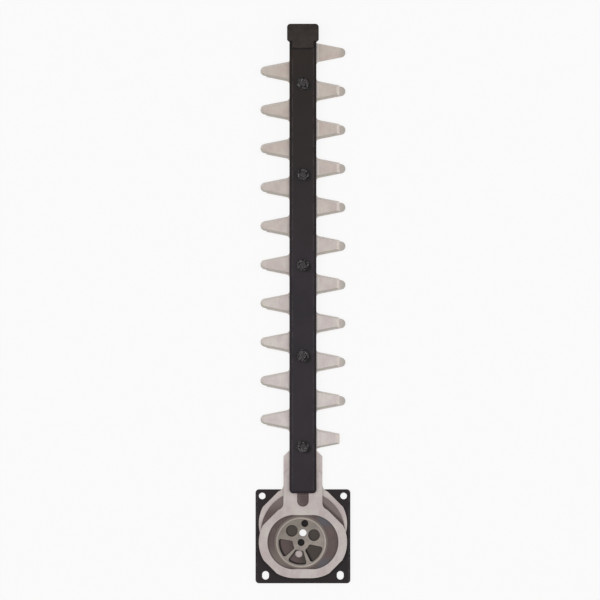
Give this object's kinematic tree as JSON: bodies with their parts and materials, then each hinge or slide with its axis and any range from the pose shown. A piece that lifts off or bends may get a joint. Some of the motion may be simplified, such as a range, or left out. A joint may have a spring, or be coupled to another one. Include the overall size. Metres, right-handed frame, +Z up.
{
  "type": "hedge trimmer blade",
  "caption": "Double-sided reciprocating hedge trimmer blade assembly with eccentric drive, square base plate, guide bar and tip guard.",
  "frame": {"origin": "drive shaft axis on the underside of the support plate", "axes": "+Y along the blades to the tip, +Z up through the guide bar and its nuts, +X to the right"},
  "size_m": [0.0858, 0.506, 0.0191],
  "materials": {
    "black_paint": "satin",
    "blade_steel": "ground",
    "sintered_steel": "matte",
    "separator_steel": "dull",
    "turned_steel": "turned",
    "black_fastener": "black oxide",
    "black_plastic": "moulded"
  },
  "bodies": {
    "frame": {"support_plate": "black_paint", "guide_bar": "black_paint", "guide_bush_1": "turned_steel", "guide_bush_2": "turned_steel", "guide_bush_3": "turned_steel", "guide_bush_4": "turned_steel", "guide_bush_5": "turned_steel", "rear_guide_pin": "turned_steel", "blade_bolts": "black_fastener", "lock_nuts": "black_fastener", "tip_guard": "black_plastic", "tip_guard_screw": "black_fastener"},
    "crank": {"upper_eccentric": "sintered_steel", "separator_disc": "separator_steel", "lower_eccentric": "sintered_steel"},
    "upper_cutter": {"upper_blade": "blade_steel"},
    "lower_cutter": {"lower_blade": "blade_steel"}
  },
  "joints": [
    {"name": "upper_blade_slide", "type": "slide", "parent": "frame", "child": "upper_cutter", "axis": [0, 1, 0], "range_m": [0, 0.01667]},
    {"name": "lower_blade_slide", "type": "slide", "parent": "frame", "child": "lower_cutter", "axis": [0, -1, 0], "range_m": [0, 0.01668]},
    {"name": "crank_turn", "type": "hinge", "parent": "frame", "child": "crank", "pos_m": [0, 0, 0], "axis": [0, 0, -1], "range_deg": [0, 158]}
  ],
  "couplings": [
    {"joint": "lower_blade_slide", "follows": "upper_blade_slide", "ratio": 1},
    {"joint": "crank_turn", "follows": "upper_blade_slide", "rad_per_m": 165.34}
  ]
}
